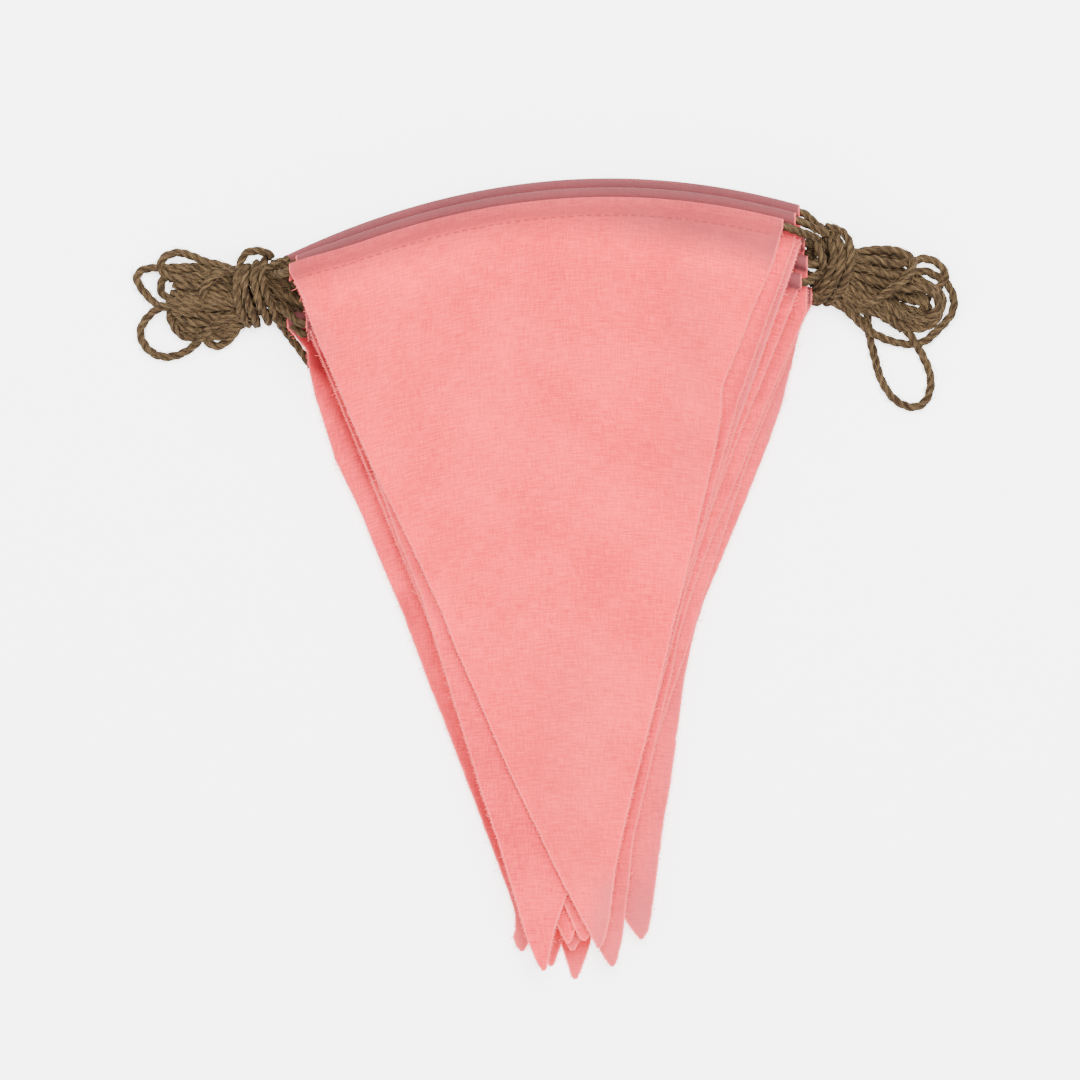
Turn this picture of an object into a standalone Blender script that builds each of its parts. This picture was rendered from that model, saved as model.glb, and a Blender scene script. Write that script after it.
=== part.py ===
"""Fabric bunting laid in a heap: ten pink cotton pennants on one jute twine.

Metres, +Z up. The heap lies on the table (z = 0), tips towards -Y, and the
twine between the pennants is gathered into a bound hank at each upper corner.
"""
import math

import bmesh
import bpy
import numpy as np

MM = 0.001

# Driving dimensions, in millimetres until the meshes are made
CLOTH = 1.0
TWINE = 3.4
CLEARANCE = 0.6
CASING_RADIUS = 2.75
HEM_DROP = 1.7
HEM_RISE = 1.0
TIP_WIDTH = 5.0
RUN_END = 1.2
CASING_EASE = 0.4
SINK = 0.9
HANK_CELL = 0.85
HANK_FACES = 0.095
LOOP_STEP = 4.0
RIDGE = 0.06
TWIST = 0.12
CENTRE_X, CENTRE_Y = 0.577, -0.181

# Upper edge of the heap from above: its two ends and the rise between them
HEAD_LEFT, HEAD_RIGHT = (-105.0, 127.0), (103.0, 147.5)
HEAD_CROWN = 19.8

# Pennants from the top of the heap down. Upper corners are given by X and by
# how far the casing lies below the heap's upper edge; bows are how far each
# raw side strays sideways (+X); lift is how far the sides stand off the heap.
PENNANT_COLUMNS = ("name", "left_x", "right_x", "depth", "tip", "left_bow", "right_bow", "lift")
PENNANTS = (
    ("pennant_01", -104, 98, 8, (21, -149), -2.0, -7.5, 2.2),
    ("pennant_02", -99, 101, 4, (0, -159), 2.5, 3.0, 0.0),
    ("pennant_03", -105, 103, 0, (16, -147), 6.0, -3.0, 0.0),
    ("pennant_04", -97, 107, 28, (9, -148), 2.0, 2.0, 0.0),
    ("pennant_05", -95, 106, 20, (27, -157), 3.0, -5.0, 0.0),
    ("pennant_06", -98, 105, 12, (11, -150), 2.0, 0.0, 0.0),
    ("pennant_07", -96, 108, 32, (39, -146), 0.0, -9.0, 0.0),
    ("pennant_08", -105, 107, 24, (-10, -151), 0.0, 6.0, 0.0),
    ("pennant_09", -97, 106, 16, (4, -158), 1.5, 2.0, 0.0),
    ("pennant_10", -98, 105, 8, (12, -162), 1.0, 4.0, 0.0),
)

# Places where the cloth is bent: across a pennant, around its casing (degrees
# from the top, positive on the far side), and down the heap from its upper edge
ACROSS = 8
CASING_ANGLES = (180, 140, 97, 54, 10, -32, -75)
HEM_FOOT = 4.0
HEAP_STATIONS = tuple(range(0, 48, 4)) + (54, 64, 80, 105, 135, 165, 195, 225, 250, 272, 288)
SECTION_STEP = 0.1
SECTION_REACH = 20.0
SETTLED_DEPTH = 105
SETTLING_PASSES = 200
SETTLED_WITHIN = 0.002
SIDE_POWER = 3

# Outline of each hank's gathered strands along X, and its number of main twists
BUNDLE_AROUND, BUNDLE_ALONG = 36, 16
LEFT_TWISTS, RIGHT_TWISTS = 7, 8
TURN_POINTS = 18
HANK_COLUMNS = ("x", "y", "half_width", "half_height")
LEFT_BUNDLE = (
    (-156, 112, 9, 5.5), (-147, 113, 13, 7), (-137, 113, 14, 7.5), (-129, 113, 12, 7),
    (-121, 115, 10.5, 7), (-114, 116, 9, 7), (-110, 116, 8, 6),
)
RIGHT_BUNDLE = (
    (110, 127, 11, 7), (116, 126, 12, 8), (123, 122, 12.5, 7.5), (133, 117, 14.5, 8),
    (143, 114, 16, 7.5), (154, 113, 14, 7), (161, 112, 8, 5.5),
)

# Loops that stand clear of the bundles, as points (x, y, z) along the twine
LEFT_LOOPS = (
    ((-128, 109, 6), (-141, 112, 4), (-151, 110, 3), (-158, 107, 2.5), (-162, 102, 2.2), (-161, 95, 2),
     (-156, 90, 2), (-148, 91, 2.2), (-140, 95, 3), (-133, 102, 4.5), (-128, 108, 5)),
    ((-147, 121, 7), (-155, 124, 6), (-161, 125, 5), (-164, 122, 4.5), (-163, 117, 4.5), (-159, 113, 5),
     (-151, 111, 6)),
    ((-131, 119, 9), (-136, 127, 9), (-143, 129, 8), (-149, 130, 7), (-153, 129, 6), (-154, 125, 6),
     (-149, 120, 7)),
    ((-149, 105, 6), (-150, 101, 5), (-146, 98, 4), (-139, 98, 4), (-133, 104, 5)),
    ((-136, 102, 4), (-136, 96, 3), (-132, 94, 2.5), (-127, 96, 3), (-123, 101, 5), (-120, 108, 6)),
    ((-122, 122, 10), (-132, 122, 15.2), (-136, 120, 15.6), (-138, 116, 15.2), (-139, 112, 13)),
    ((-122, 122, 8), (-122, 129, 9), (-117, 132, 9.5), (-111, 129, 9), (-112, 121, 8)),
    ((-112, 112, 8), (-110.5, 105, 5), (-108.5, 99, 2.2), (-106.5, 94, 1.75)),
    ((-115, 110.5, 8), (-112, 104.5, 8.5), (-109.6, 101.6, 8.7), (-106.75, 102.6, 8.7)),
)
RIGHT_LOOPS = (
    ((119, 127, 9), (124, 132, 9), (132, 134, 8), (141, 133, 8), (147, 131, 9), (149, 126, 10),
     (144, 119, 10)),
    ((141, 121, 8), (147, 127, 7), (154, 129, 6), (160, 126, 5), (161, 121, 5), (156, 115, 6)),
    ((146, 121, 5), (155, 122, 4), (162, 117, 3), (165, 111, 2.5), (164, 104, 2.5), (157, 99, 3),
     (148, 104, 4)),
    ((129, 107, 6), (132, 99, 4), (138, 95.5, 3), (147, 94.5, 3), (155, 97, 3.5), (160, 103, 5),
     (155, 110, 6)),
    ((129, 112, 6), (130, 101, 3), (132, 91, 2), (135, 82, 2), (139, 74, 2), (145, 70, 2), (152, 70, 2),
     (156, 76, 2), (155, 85, 2), (150, 93, 2.2), (143, 101, 3), (137, 108, 6)),
    ((120, 128, 11), (114, 133, 14), (110, 139, 16), (108.5, 144, 17)),
    ((120, 126, 10), (115, 131, 11), (110.5, 136, 12)),
    ((118, 120, 9), (115, 115, 10.4), (112.2, 112.8, 10.9), (109.8, 113.45, 10.9)),
)
# Turns that bind each hank: X of the turn, and how far it leans along X
LEFT_TURNS = ((-124.5, 2.0), (-120.2, 2.5), (-115.8, 1.5), (-111.9, 0.8))
RIGHT_TURNS = ((121.5, -2.5), (117.2, -2.2), (112.9, -1.2))

PINK = (0.95, 0.39, 0.36, 1.0)
DEEP_PINK = (0.80, 0.30, 0.30, 1.0)
JUTE = (0.26, 0.17, 0.085, 1.0)


def material(name, colour, roughness):
    made = bpy.data.materials.new(name)
    made.use_nodes = True
    made.diffuse_color = colour
    shader = made.node_tree.nodes["Principled BSDF"]
    shader.inputs["Base Color"].default_value = colour
    shader.inputs["Roughness"].default_value = roughness
    shader.inputs["Metallic"].default_value = 0.0
    return made


def smooth_route(points, spacing):
    """Points every few millimetres on a smooth curve through the given ones."""
    points = np.array(points, float)
    padded = np.vstack([2 * points[0] - points[1], points, 2 * points[-1] - points[-2]])
    fine = []
    for a, b, c, d in zip(padded, padded[1:], padded[2:], padded[3:]):
        for t in np.arange(0, 1, 0.1):
            fine.append(0.5 * (2 * b + (c - a) * t + (2 * a - 5 * b + 4 * c - d) * t ** 2
                               + (3 * b - a - 3 * c + d) * t ** 3))
    fine.append(points[-1])
    fine = np.array(fine)
    travelled = np.concatenate([[0], np.cumsum(np.linalg.norm(np.diff(fine, axis=0), axis=1))])
    count = max(2, round(travelled[-1] / spacing) + 1)
    wanted = np.linspace(0, travelled[-1], count)
    return np.stack([np.interp(wanted, travelled, fine[:, axis]) for axis in range(3)], axis=1)


def metres(points):
    """Heap millimetres to metres about the object's own origin."""
    return (np.asarray(points, float) - (CENTRE_X, CENTRE_Y, 0.0)) * MM


def twine_curve(name, points, cyclic=False):
    curve = bpy.data.curves.new(name, "CURVE")
    curve.dimensions = "3D"
    curve.bevel_depth = TWINE / 2 * MM
    curve.bevel_resolution = 2
    curve.use_fill_caps = not cyclic
    spline = curve.splines.new("POLY")
    spline.points.add(len(points) - 1)
    spline.use_cyclic_u = cyclic
    for point, place in zip(spline.points, metres(points)):
        point.co = (*place, 1.0)
    return bpy.data.objects.new(name, curve)


def tube_mesh(curve_object):
    """The curve's tube as a mesh, made outside any scene collection."""
    holder = bpy.context.scene.collection
    holder.objects.link(curve_object)
    bpy.context.view_layer.update()
    evaluated = curve_object.evaluated_get(bpy.context.evaluated_depsgraph_get())
    mesh = bpy.data.meshes.new_from_object(evaluated)
    bpy.data.objects.remove(curve_object)
    return mesh


def head_y(x):
    """Y of the heap's upper edge at x."""
    u = (x - HEAD_LEFT[0]) / (HEAD_RIGHT[0] - HEAD_LEFT[0])
    return HEAD_LEFT[1] + (HEAD_RIGHT[1] - HEAD_LEFT[1]) * u + HEAD_CROWN * 4 * u * (1 - u)


class Heap:
    """Section through the heap: its height at each depth below the upper edge."""

    def __init__(self):
        self.depths = np.arange(-SECTION_REACH, HEAP_STATIONS[-1] + SECTION_REACH, SECTION_STEP)
        self.height = np.full(len(self.depths), -CLEARANCE)

    def casing_arch(self, depth):
        """Which depths a casing spans, and the arch of its round outside there."""
        outer = CASING_RADIUS + CLOTH / 2 + CASING_EASE
        near = np.abs(self.depths - depth) < outer
        return near, np.sqrt(outer ** 2 - (self.depths[near] - depth) ** 2)

    def resting_height(self, depth):
        near, arch = self.casing_arch(depth)
        return (self.height[near] + arch).max() + CLEARANCE

    def add_casing(self, depth, centre):
        near, arch = self.casing_arch(depth)
        self.height[near] = np.maximum(self.height[near], centre + arch)

    def drape(self, depth):
        """Heights at the stations of cloth laid on the heap from this depth down."""
        stations = np.array(HEAP_STATIONS, float)
        used = self.depths >= depth + HEM_FOOT - SECTION_STEP
        depths, floor = self.depths[used], self.height[used] + CLEARANCE
        heights = np.interp(stations, depths, floor) + CLOTH / 2
        cell = np.clip(np.searchsorted(stations, depths) - 1, 0, len(stations) - 2)
        part = np.clip((depths - stations[cell]) / np.diff(stations)[cell], 0, 1)
        for _ in range(SETTLING_PASSES):
            slope = np.abs(np.diff(heights) / np.diff(stations))[cell]
            laid = heights[cell] * (1 - part) + heights[cell + 1] * part
            short = floor + CLOTH / 2 * np.sqrt(1 + slope ** 2) - laid
            if short.max() < SETTLED_WITHIN:
                break
            short = np.maximum(short, 0)
            push = np.zeros(len(heights))
            np.maximum.at(push, cell, short * (1 - part))
            np.maximum.at(push, cell + 1, short * part)
            heights = heights + push
        level = heights[stations >= SETTLED_DEPTH].max()
        heights[stations >= SETTLED_DEPTH] = level
        slope = np.abs(np.diff(heights) / np.diff(stations))[cell]
        laid = heights[cell] * (1 - part) + heights[cell + 1] * part
        self.height[used] = laid + CLOTH / 2 * np.sqrt(1 + slope ** 2)
        return heights


def pennant_points(row, heap):
    """Rows of points on one pennant's mid-surface, and its twine's route."""
    depth, tip = row["depth"], np.array(row["tip"], float)
    across = np.linspace(0, 1, ACROSS + 1)
    foot, beyond = depth + HEM_FOOT, depth + 2 * HEM_FOOT
    resting = heap.resting_height(depth)
    heights = heap.drape(depth)
    hem_height = np.interp(foot, HEAP_STATIONS, heights)
    twine_height = max(resting, hem_height + CASING_RADIUS - HEM_RISE)
    hem_height = max(hem_height, twine_height - CASING_RADIUS)
    foot_height = hem_height + HEM_DROP
    heap.add_casing(depth, twine_height)
    fold = (heap.depths > depth + CLEARANCE) & (heap.depths < beyond)
    shoulder = np.interp(heap.depths[fold], (foot + CLEARANCE, beyond),
                         (foot_height, np.interp(beyond, HEAP_STATIONS, heights)))
    heap.height[fold] = np.maximum(heap.height[fold], shoulder + CLOTH)
    length = head_y(tip[0]) - depth - tip[1]

    def place(u, below, height):
        """Point across at u, at a distance below the casing, along the cloth."""
        share = np.clip(below / length, 0, 1)
        left = row["left_x"] * (1 - share) + (tip[0] - TIP_WIDTH / 2) * share
        right = row["right_x"] * (1 - share) + (tip[0] + TIP_WIDTH / 2) * share
        bow = (row["left_bow"] * (1 - u) + row["right_bow"] * u) * math.sin(math.pi * share)
        x = left * (1 - u) + right * u + bow
        curved = head_y(x) - depth - below
        straight = tip[1] + length - below
        flat = np.clip((below - SETTLED_DEPTH) / (length - SETTLED_DEPTH), 0, 1)
        side = (abs(u - 0.5) * 2) ** SIDE_POWER
        raised = row["lift"] * side * math.sin(math.pi * share) ** 2
        return (x, curved * (1 - flat) + straight * flat, height + raised)

    rows = [[place(u, HEM_FOOT, hem_height) for u in across]]
    for angle in CASING_ANGLES:
        out = CASING_RADIUS * math.sin(math.radians(angle))
        up = CASING_RADIUS * math.cos(math.radians(angle))
        rows.append([place(u, 0.0, 0.0)[:1] + (head_y(place(u, 0.0, 0.0)[0]) - depth + out, twine_height + up)
                     for u in across])
    rows.append([place(u, HEM_FOOT, foot_height) for u in across])
    for station, height in zip(HEAP_STATIONS, heights):
        if foot < station < depth + length - TIP_WIDTH:
            rows.append([place(u, station - depth, height) for u in across])
    rows.append([place(u, length, heights[-1]) for u in across])
    route = np.array([(*place(u, 0.0, 0.0)[:2], twine_height) for u in across])
    return np.array(rows), route


def pennant(row, heap, collection, cloth):
    """One pennant: a sheet turned down over the twine, its hem under it."""
    rows, route = pennant_points(row, heap)
    grid = bmesh.new()
    bmesh.ops.create_grid(grid, x_segments=rows.shape[1] - 1, y_segments=rows.shape[0] - 1, size=1.0)
    for vertex, place in zip(grid.verts, metres(rows.reshape(-1, 3))):
        vertex.co = place
    bmesh.ops.triangulate(grid, faces=grid.faces, quad_method="FIXED")
    mesh = bpy.data.meshes.new(row["name"])
    grid.to_mesh(mesh)
    grid.free()
    made = bpy.data.objects.new(row["name"], mesh)
    made.data.materials.append(cloth)
    thickness = made.modifiers.new("cloth", "SOLIDIFY")
    thickness.thickness = CLOTH * MM
    thickness.offset = 0.0
    thickness.use_even_offset = True
    collection.objects.link(made)
    return route


def bundle_section(stations, along):
    """Centre in Y, half width and half height of a bundle at one place along X."""
    table = dict(zip(HANK_COLUMNS, zip(*stations)))
    return [np.interp(along, table["x"], table[name]) for name in HANK_COLUMNS[1:]]


def add_bundle(body, stations, strands):
    """The gathered strands of a hank: a long body with its main twists raised."""
    made = bmesh.ops.create_uvsphere(body, u_segments=BUNDLE_AROUND, v_segments=BUNDLE_ALONG, radius=1.0)
    first, last = stations[0][0], stations[-1][0]
    for vertex in made["verts"]:
        polar = math.acos(max(-1.0, min(1.0, vertex.co.z))) / math.pi
        share = min(max((polar * BUNDLE_ALONG - 1) / (BUNDLE_ALONG - 2), 0.0), 1.0)
        along = first + (last - first) * share
        centre_y, half_width, half_height = bundle_section(stations, along)
        turn = math.atan2(vertex.co.y, vertex.co.x)
        at_pole = abs(abs(vertex.co.z) - 1.0) < 1e-6
        size = 0.0 if at_pole else 1.0 + RIDGE * (math.cos(strands * turn + along * TWIST) - 1.0)
        y = centre_y + half_width * size * math.cos(turn)
        z = half_height * (1.0 + size * math.sin(turn))
        vertex.co = metres((along, y, z))


def binding_turn(stations, x, lean):
    """One turn of twine around the bundle, half sunk between its neighbours."""
    points = []
    for step in range(TURN_POINTS):
        turn = 2 * math.pi * step / TURN_POINTS
        along = x + lean * math.sin(turn)
        centre_y, half_width, half_height = bundle_section(stations, along)
        height = half_height + (half_height + SINK) * math.sin(turn)
        points.append((along, centre_y + (half_width + SINK) * math.cos(turn), max(height, TWINE / 2)))
    return points


def hank(name, stations, strands, turns, loops, jute):
    """A bound hank as one solid: bundle, binding turns and loops grown together."""
    body = bmesh.new()
    add_bundle(body, stations, strands)
    pieces = [twine_curve(f"{name}_turn", binding_turn(stations, x, lean), cyclic=True) for x, lean in turns]
    pieces += [twine_curve(f"{name}_loop", smooth_route(loop, LOOP_STEP)) for loop in loops]
    for piece in pieces:
        body.from_mesh(tube_mesh(piece))
    bmesh.ops.remove_doubles(body, verts=body.verts, dist=0.00001)
    bmesh.ops.recalc_face_normals(body, faces=body.faces)
    mesh = bpy.data.meshes.new(name)
    body.to_mesh(mesh)
    body.free()
    rough = bpy.data.objects.new(f"{name}_strands", mesh)
    grown = rough.modifiers.new("grown together", "REMESH")
    grown.mode = "VOXEL"
    grown.voxel_size = HANK_CELL * MM
    fewer = rough.modifiers.new("fewer faces", "DECIMATE")
    fewer.ratio = HANK_FACES
    holder = bpy.context.scene.collection
    holder.objects.link(rough)
    bpy.context.view_layer.update()
    solid = bpy.data.meshes.new_from_object(rough.evaluated_get(bpy.context.evaluated_depsgraph_get()))
    bpy.data.objects.remove(rough)
    for vertex in solid.vertices:
        vertex.co.z = max(vertex.co.z, 0.0)
    solid.materials.append(jute)
    return bpy.data.objects.new(name, solid)


def main():
    for old in list(bpy.data.objects):
        bpy.data.objects.remove(old)
    bunting = bpy.data.collections.new("fabric_bunting")
    bpy.context.scene.collection.children.link(bunting)
    cloth = material("pink_cotton", PINK, 0.9)
    back_cloth = material("pink_cotton_back", DEEP_PINK, 0.9)
    jute = material("jute_twine", JUTE, 0.85)

    heap = Heap()
    for values in reversed(PENNANTS):
        row = dict(zip(PENNANT_COLUMNS, values))
        route = pennant(row, heap, bunting, cloth if row["name"] == "pennant_01" else back_cloth)
        number = row["name"][-2:]
        ends = [route[0] * 2 - route[1], route[-1] * 2 - route[-2]]
        stubs = [route[k] + (end - route[k]) * RUN_END / np.linalg.norm(end - route[k])
                 for k, end in zip((0, -1), ends)]
        run = twine_curve(f"twine_run_{number}", np.vstack([stubs[0], route, stubs[1]]))
        run.data.materials.append(jute)
        bunting.objects.link(run)

    bunting.objects.link(hank("hank_left", LEFT_BUNDLE, LEFT_TWISTS, LEFT_TURNS, LEFT_LOOPS, jute))
    bunting.objects.link(hank("hank_right", RIGHT_BUNDLE, RIGHT_TWISTS, RIGHT_TURNS, RIGHT_LOOPS, jute))


main()
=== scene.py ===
import math
import random

import bmesh
import bpy
import numpy as np
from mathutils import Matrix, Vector, noise


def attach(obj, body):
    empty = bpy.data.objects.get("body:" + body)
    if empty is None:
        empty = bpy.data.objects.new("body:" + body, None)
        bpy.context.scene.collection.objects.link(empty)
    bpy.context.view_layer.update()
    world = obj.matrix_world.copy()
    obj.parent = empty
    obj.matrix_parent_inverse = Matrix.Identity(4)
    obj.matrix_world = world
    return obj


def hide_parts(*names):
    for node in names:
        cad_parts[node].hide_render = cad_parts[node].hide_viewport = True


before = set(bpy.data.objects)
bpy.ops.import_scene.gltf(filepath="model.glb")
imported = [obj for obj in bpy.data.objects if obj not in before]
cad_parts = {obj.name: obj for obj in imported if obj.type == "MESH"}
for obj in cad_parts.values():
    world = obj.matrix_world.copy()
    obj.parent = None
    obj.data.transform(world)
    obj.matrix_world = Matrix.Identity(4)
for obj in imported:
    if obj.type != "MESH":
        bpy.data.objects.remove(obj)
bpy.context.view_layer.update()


# The view: straight down on the heap, as the photograph has it. One pixel of the
# photograph is 0.404 mm on the table, and the middle of the heap is pixel 546, 578.
PIXEL = 0.000404
MIDDLE = (546.43, 578.45)
PICTURE = 1080
HEIGHT = 6.0
SENSOR = 36.0

lens = bpy.data.cameras.new("view")
lens.sensor_width = SENSOR
lens.lens = SENSOR * HEIGHT / (PICTURE * PIXEL)
lens.clip_end = 2 * HEIGHT
camera = bpy.data.objects.new("view", lens)
camera.location = ((PICTURE / 2 - MIDDLE[0]) * PIXEL, (MIDDLE[1] - PICTURE / 2) * PIXEL, HEIGHT)
bpy.context.scene.collection.objects.link(camera)
bpy.context.scene.camera = camera

for name, place, size, power in (("softbox_over", (0.25, 0.5, 1.6), 1.3, 78.0),
                                 ("softbox_left", (-1.4, -0.5, 1.1), 1.0, 18.0)):
    light = bpy.data.lights.new(name, "AREA")
    light.size = size
    light.energy = power
    lamp = bpy.data.objects.new(name, light)
    lamp.location = place
    lamp.rotation_euler = (-Vector(place)).to_track_quat("-Z", "Y").to_euler()
    bpy.context.scene.collection.objects.link(lamp)

world = bpy.data.worlds.new("studio")
world.use_nodes = True
world.node_tree.nodes["Background"].inputs["Color"].default_value = (1.0, 0.99, 0.98, 1.0)
world.node_tree.nodes["Background"].inputs["Strength"].default_value = 1.75
bpy.context.scene.world = world


# The table: a plain pale sheet that the heap lies on. Its finish comes from the
# small kit below, which writes shader sums as ordinary expressions.
class Value:
    """A number that varies over a surface. Sums on it add Math nodes."""

    def __init__(self, finish, socket):
        self.finish = finish
        self.socket = socket

    def maths(self, operation, first, second):
        return self.finish.add("ShaderNodeMath", {"operation": operation}, {0: first, 1: second})

    def __add__(self, other):
        return self.maths("ADD", self, other)

    def __radd__(self, other):
        return self.maths("ADD", other, self)

    def __sub__(self, other):
        return self.maths("SUBTRACT", self, other)

    def __rsub__(self, other):
        return self.maths("SUBTRACT", other, self)

    def __mul__(self, other):
        return self.maths("MULTIPLY", self, other)

    def __rmul__(self, other):
        return self.maths("MULTIPLY", other, self)

    def sine(self):
        return self.maths("SINE", self, 0.0)

    def held(self, low, high):
        """0 below low, 1 above high, and a straight ramp between."""
        return self.finish.add("ShaderNodeMapRange", {"clamp": True},
                               {0: self, 1: low, 2: high, 3: 0.0, 4: 1.0})


class Finish:
    """One material, with its nodes added by type, settings and inputs."""

    def __init__(self, name, roughness):
        self.material = bpy.data.materials.new(name)
        self.material.use_nodes = True
        self.tree = self.material.node_tree
        self.shader = self.tree.nodes["Principled BSDF"]
        self.shader.inputs["Roughness"].default_value = roughness
        self.shader.inputs["Specular IOR Level"].default_value = 0.1

    def add(self, kind, settings, inputs, output=0):
        node = self.tree.nodes.new(kind)
        for key, setting in settings.items():
            setattr(node, key, setting)
        for key, given in inputs.items():
            if isinstance(given, Value):
                self.tree.links.new(given.socket, node.inputs[key])
            else:
                node.inputs[key].default_value = given
        return Value(self, node.outputs[output])

    def mix(self, factor, first, second):
        """One colour turning into another as factor goes from 0 to 1."""
        return self.add("ShaderNodeMix", {"data_type": "RGBA"}, {0: factor, 6: first, 7: second}, 2)

    def speckle(self, place, scale, stretch, detail=2.0):
        """Soft cloudy noise, drawn out along the axes as stretch says."""
        drawn = self.add("ShaderNodeMapping", {}, {"Vector": place, "Scale": stretch})
        return self.add("ShaderNodeTexNoise", {}, {"Vector": drawn, "Scale": scale, "Detail": detail})

    def part(self, vector, axis):
        return self.add("ShaderNodeSeparateXYZ", {}, {"Vector": vector}, axis)

    def set(self, name, value):
        self.tree.links.new(value.socket, self.shader.inputs[name])

    def relief(self, height, distance, strength=1.0):
        self.set("Normal", self.add("ShaderNodeBump", {}, {"Height": height, "Distance": distance,
                                                           "Strength": strength}))


TABLE_GLOW = 2.5
TABLE_REACH = 3.0
TABLE_DROP = 0.0001

paper = Finish("pale_table", 0.9)
spot = paper.add("ShaderNodeTexCoord", {}, {}, "Object")
paper.set("Base Color", paper.mix(paper.speckle(spot, 40.0, (1, 1, 1)),
                                  (0.90, 0.90, 0.90, 1), (0.93, 0.93, 0.925, 1)))
paper.shader.inputs["Emission Color"].default_value = (1.0, 1.0, 1.0, 1.0)
paper.shader.inputs["Emission Strength"].default_value = TABLE_GLOW
table = bmesh.new()
bmesh.ops.create_grid(table, x_segments=1, y_segments=1, size=TABLE_REACH)
table_mesh = bpy.data.meshes.new("table")
table.to_mesh(table_mesh)
table.free()
table_mesh.materials.append(paper.material)
table_object = bpy.data.objects.new("table", table_mesh)
table_object.location.z = -TABLE_DROP
bpy.context.scene.collection.objects.link(table_object)


# Pennants: triangles of thin plain-weave cotton, cut raw along both long sides.
# The upper edge is folded over the twine and stitched, and the sheets lie one on
# another, so each is thin cloth on its solid's folds, a little softer.
# All of this is in millimetres: the cloth's thickness, the casing's radius round the
# twine, how far beside the twine its two edges end, where a sheet's bowed rows begin to
# straighten, the object's centre in the frame its upper edge was measured in, and that
# edge as its two ends and its rise between them.
CLOTH = 0.45
CASING = 2.75
HEM = 4.0
SLOPE_ENDS = 105
CENTRE = (0.577, -0.181)
HEAD = ((-105.0, 127.0), (103.0, 147.5), 19.8)

# Sheet heights down the heap, as (depth below its upper edge, height) in millimetres.
# The three upper sheets share one fall, a sheet's thickness apart.
SHEET = 1.65
TOP_FALL = ((12, 21.6), (16, 24.2), (20, 26.8), (24, 28.6), (28, 30.4), (32, 30.1), (36, 28.8),
            (40, 27.0), (50, 23.3), (64, 19.4), (80, 16.0), (105, 13.0), (130, 11.9), (160, 11.7))


def lifted(fall, sheets):
    """A fall with this many more sheets under it."""
    return tuple((depth, height + sheets * SHEET) for depth, height in fall)


FALLS = {
    1: ((16, 30.1), (20, 30.8), (24, 32.0)) + lifted(TOP_FALL[4:], 2),
    2: ((12, 23.9),) + lifted(TOP_FALL[1:], 1),
    3: ((8, 15.8),) + TOP_FALL,
    4: ((36, 22.4), (40, 21.4), (50, 18.4), (64, 15.4), (80, 13.0), (105, 11.0), (130, 10.1)),
    5: ((28, 18.9), (32, 19.6), (36, 18.5), (40, 17.3), (50, 15.0), (64, 12.7), (80, 10.9),
        (105, 9.2), (130, 8.5)),
    6: ((20, 13.9), (24, 15.4), (28, 15.6), (32, 17.5), (36, 15.8), (40, 14.0), (50, 11.5),
        (64, 9.6), (80, 8.0), (105, 7.2), (130, 6.9)),
    7: ((40, 5.3),), 8: ((32, 3.7),), 9: ((24, 2.1),), 10: ((16, 0.5),),
}

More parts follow.
